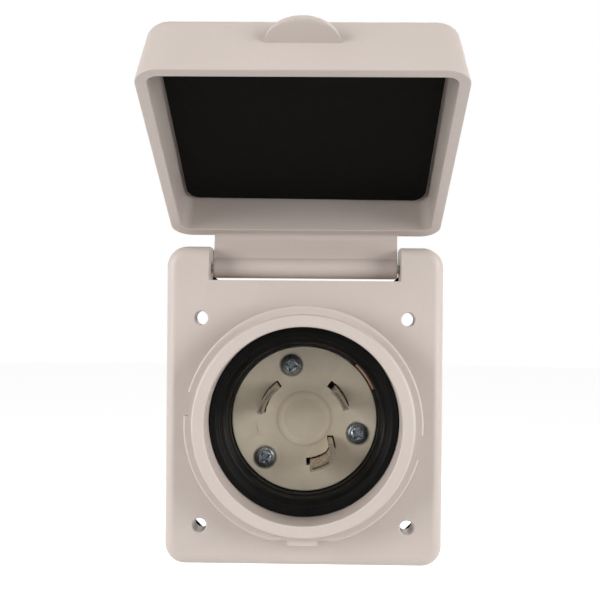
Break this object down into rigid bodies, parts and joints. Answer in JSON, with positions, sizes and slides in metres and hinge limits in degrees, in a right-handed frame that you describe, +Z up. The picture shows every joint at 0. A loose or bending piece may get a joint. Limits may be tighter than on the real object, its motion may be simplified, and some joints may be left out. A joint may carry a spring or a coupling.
{
  "type": "generator inlet box",
  "caption": "Flanged power inlet box with a hinged weather lid, recessed locking blades in a round collar, and a rear wiring housing with cord clamp.",
  "frame": {"origin": "on the axis of the plug bore, in the wall's surface at the back of the flange's gasket", "axes": "+Y runs into the wall along the bore, so the plug side faces -Y; +Z is up, towards the lid's hinge; +X is to the right as seen from the plug side"},
  "size_m": [0.0892, 0.1568, 0.1589],
  "materials": {
    "white_plastic": "warm white moulded plastic, satin",
    "nylon": "ivory nylon, satin",
    "black_plastic": "black moulded plastic",
    "black_rubber": "black rubber, matte",
    "black_foam": "black closed-cell foam rubber",
    "nickel": "nickel-plated brass",
    "copper": "copper alloy",
    "zinc": "zinc-plated steel",
    "brass": "plain brass",
    "steel": "stainless steel"
  },
  "bodies": {
    "housing": {"blade_ground": "nickel", "blade_hot": "nickel", "blade_neutral": "nickel", "clamp_screw_1": "zinc", "clamp_screw_2": "zinc", "contact_strip": "copper", "cord_clamp": "white_plastic", "cord_grommet": "black_rubber", "face_plate": "white_plastic", "face_screw_1": "zinc", "face_screw_2": "zinc", "face_screw_3": "zinc", "front_insulator": "nylon", "hinge_pin": "steel", "housing_screw_1": "zinc", "housing_screw_2": "zinc", "housing_screw_3": "zinc", "housing_seal": "black_rubber", "mounting_gasket": "black_foam", "rear_housing": "white_plastic", "rear_insulator": "black_plastic", "sealing_ring": "black_rubber", "terminal_clamp_ground": "brass", "terminal_clamp_hot": "brass", "terminal_clamp_neutral": "brass", "terminal_screw_ground": "brass", "terminal_screw_hot": "brass", "terminal_screw_neutral": "brass"},
    "lid": {"lid": "white_plastic", "lid_pad": "black_foam"}
  },
  "joints": [
    {"name": "lid_hinge", "type": "hinge", "parent": "housing", "child": "lid", "pos_m": [0, -0.0067, 0.0499], "axis": [1, 0, 0], "range_deg": [0, 113.9]}
  ]
}
